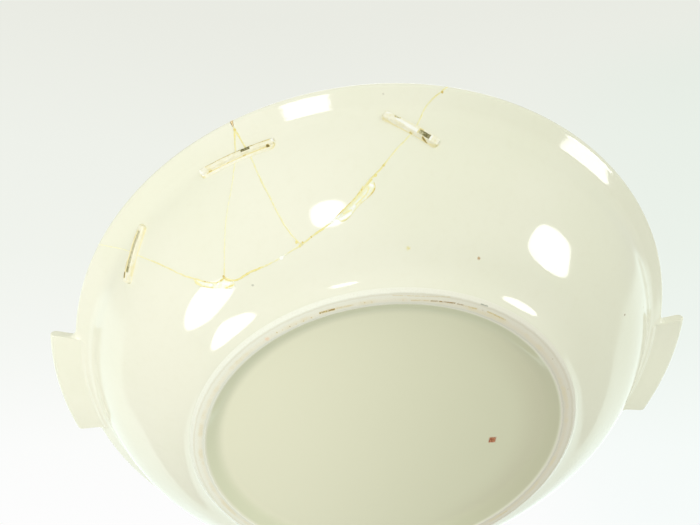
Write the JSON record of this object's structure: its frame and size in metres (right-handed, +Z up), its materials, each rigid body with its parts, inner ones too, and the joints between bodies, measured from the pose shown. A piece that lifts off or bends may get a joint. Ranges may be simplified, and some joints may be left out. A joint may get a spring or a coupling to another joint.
{
  "type": "cracked bowl",
  "caption": "Shallow porcelain bowl with lug handles on a foot ring, broken at the front and mended with glue, metal staples and putty.",
  "frame": {"origin": "centre of the bottom of the foot ring", "axes": "+X through the middles of the two lug handles, +Z up through the mouth of the bowl, -Y towards the mended wall"},
  "size_m": [0.259, 0.24, 0.0448],
  "materials": {
    "glaze": "glossy ivory glaze over porcelain, foot band bare and stained",
    "putty": "dull cream putty, browned along its edges",
    "staple_metal": "tarnished, olive brown",
    "filler": "aged resin filler, cream to orange"
  },
  "bodies": {
    "root": {"bowl_body": "glaze", "sherd_left": "glaze", "sherd_middle": "glaze", "sherd_right": "glaze", "rim_fill": "filler", "staple_left": "staple_metal", "putty_left": "putty", "staple_centre": "staple_metal", "putty_centre": "putty", "staple_right": "staple_metal", "putty_right": "putty"}
  },
  "joints": []
}
